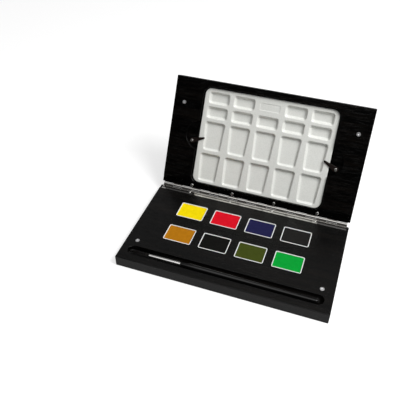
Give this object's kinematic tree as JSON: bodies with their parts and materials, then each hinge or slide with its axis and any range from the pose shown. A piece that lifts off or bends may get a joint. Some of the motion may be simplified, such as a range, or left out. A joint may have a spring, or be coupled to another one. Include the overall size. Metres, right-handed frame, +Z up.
{
  "type": "watercolor box",
  "caption": "Slim black wooden watercolour box, hinged open, with paint pans and a brush in its base and a mixing palette held in its lid by turn clips.",
  "frame": {"origin": "centre of the base board's underside", "axes": "+X along the width to the right, +Y from the front edge to the hinge, +Z up; the lid stands open 117.7 degrees from shut"},
  "size_m": [0.2516, 0.2246, 0.1425],
  "materials": {
    "wood_black": "black-stained fine-grained hardwood, satin",
    "hinge_nickel": "bright nickel-plated steel",
    "screw_steel": "nickel-plated steel",
    "magnet_nickel": "nickel-plated magnet",
    "palette_white": "white glazed porcelain",
    "pan_white": "white moulded plastic",
    "brush_lacquer": "black gloss lacquer",
    "ferrule_metal": "bright nickel-plated brass",
    "brush_hair": "dark brown brush hair",
    "clip_dark": "black-brown painted steel",
    "paint_yellow": "dry watercolour paint, yellow",
    "paint_red": "dry watercolour paint, red",
    "paint_navy": "dry watercolour paint, navy",
    "paint_grey": "dry watercolour paint, grey",
    "paint_ochre": "dry watercolour paint, ochre",
    "paint_black": "dry watercolour paint, black",
    "paint_olive": "dry watercolour paint, olive",
    "paint_green": "dry watercolour paint, green"
  },
  "bodies": {
    "base": {"base_block": "wood_black", "brush_ferrule": "ferrule_metal", "brush_hair": "brush_hair", "brush_handle": "brush_lacquer", "hinge_leaf_base": "hinge_nickel", "hinge_pin": "hinge_nickel", "hinge_screws_base": "screw_steel", "magnet_base_left": "magnet_nickel", "magnet_base_right": "magnet_nickel", "paint_black": "paint_black", "paint_green": "paint_green", "paint_grey": "paint_grey", "paint_navy": "paint_navy", "paint_ochre": "paint_ochre", "paint_olive": "paint_olive", "paint_red": "paint_red", "paint_yellow": "paint_yellow", "pan_black": "pan_white", "pan_green": "pan_white", "pan_grey": "pan_white", "pan_navy": "pan_white", "pan_ochre": "pan_white", "pan_olive": "pan_white", "pan_red": "pan_white", "pan_yellow": "pan_white"},
    "lid": {"lid_block": "wood_black", "hinge_leaf_lid": "hinge_nickel", "hinge_screws_lid": "screw_steel", "palette": "palette_white", "clip_screw_left": "screw_steel", "clip_screw_right": "screw_steel", "magnet_lid_left": "magnet_nickel", "magnet_lid_right": "magnet_nickel"},
    "clip_left": {"clip_left": "clip_dark"},
    "clip_right": {"clip_right": "clip_dark"}
  },
  "joints": [
    {"name": "lid_hinge", "type": "hinge", "parent": "base", "child": "lid", "pos_m": [0, 0.0735, 0.01495], "axis": [-1, 0, 0], "range_deg": [-117.7, 62.3]},
    {"name": "clip_left_turn", "type": "hinge", "parent": "lid", "child": "clip_left", "pos_m": [-0.0942, 0.10631, 0.07024], "axis": [0, -0.8854, 0.4648], "range_deg": [-20.4, 74.6]},
    {"name": "clip_right_turn", "type": "hinge", "parent": "lid", "child": "clip_right", "pos_m": [0.0942, 0.10631, 0.07024], "axis": [0, 0.8854, -0.4648], "range_deg": [-26.3, 68.7]}
  ]
}
